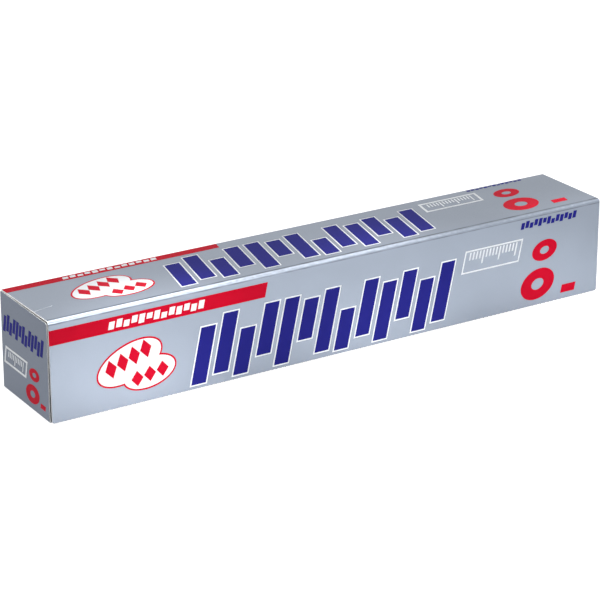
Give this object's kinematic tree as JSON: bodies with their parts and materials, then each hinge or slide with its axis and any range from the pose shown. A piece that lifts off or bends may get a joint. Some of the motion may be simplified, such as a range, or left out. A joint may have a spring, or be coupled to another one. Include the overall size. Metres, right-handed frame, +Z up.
{
  "type": "boxed aluminium foil roll",
  "caption": "Slim silver card carton with a hinged lid and a saw blade on its front flap, holding a roll of kitchen foil on a card core.",
  "frame": {"origin": "middle of the footprint, on the surface that the carton stands on", "axes": "+X along the carton, -Y is the front with the lid's flap, +Z up"},
  "size_m": [0.262, 0.0412, 0.0419],
  "materials": {
    "carton_card": "satin metallic print on white-edged folding board",
    "blade_steel": "bright rolled strip",
    "foil": "bright rolled foil",
    "core_card": "plain spiral-wound board"
  },
  "bodies": {
    "carton": {"carton_tray": "carton_card", "foil_roll": "foil", "core_tube": "core_card"},
    "lid": {"lid": "carton_card", "cutter_blade": "blade_steel"}
  },
  "joints": [
    {"name": "lid_hinge", "type": "hinge", "parent": "carton", "child": "lid", "pos_m": [0, 0.02032, 0.04113], "axis": [-1, 0, 0], "range_deg": [0, 180]}
  ]
}
